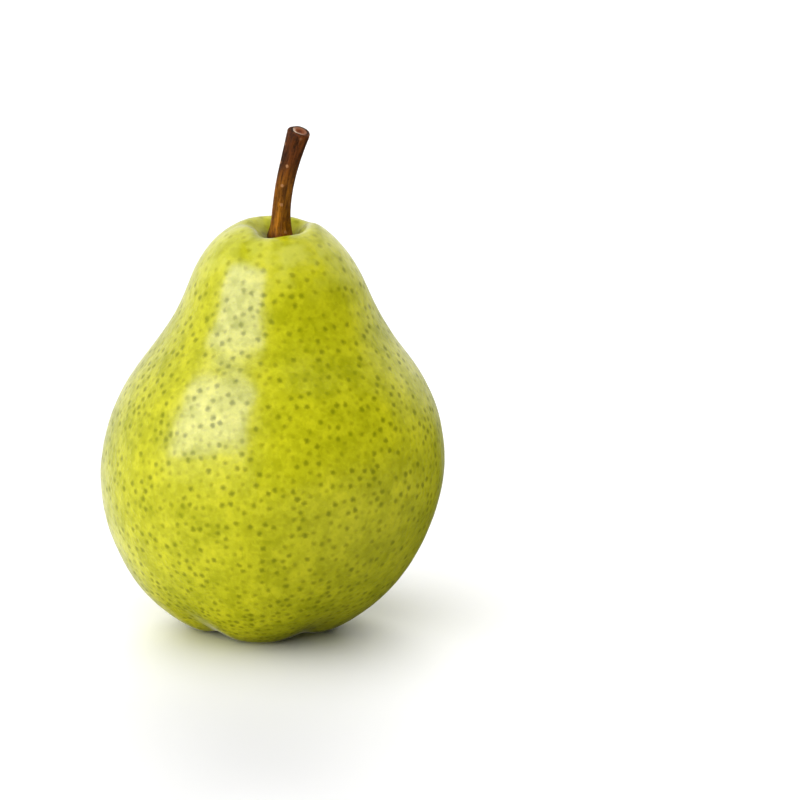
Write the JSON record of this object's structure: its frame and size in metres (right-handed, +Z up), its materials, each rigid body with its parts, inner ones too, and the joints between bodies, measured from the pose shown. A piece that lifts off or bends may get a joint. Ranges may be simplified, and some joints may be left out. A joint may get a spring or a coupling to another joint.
{
  "type": "pear",
  "caption": "Whole fresh green pear with a bent woody stem and a dried calyx, standing on its lobed base.",
  "frame": {"origin": "on the floor under the fruit, in the middle of its box", "axes": "+Z up from the base to the stem, the neck leans towards +X, and the side shown in the picture faces -Y"},
  "size_m": [0.0768, 0.0756, 0.1138],
  "materials": {
    "skin": "smooth waxy green skin with darker green dots",
    "stem_bark": "rough brown bark",
    "dried_calyx": "dry brown sepals"
  },
  "bodies": {
    "root": {"pear_body": "skin", "stem": "stem_bark", "calyx": "dried_calyx"}
  },
  "joints": []
}
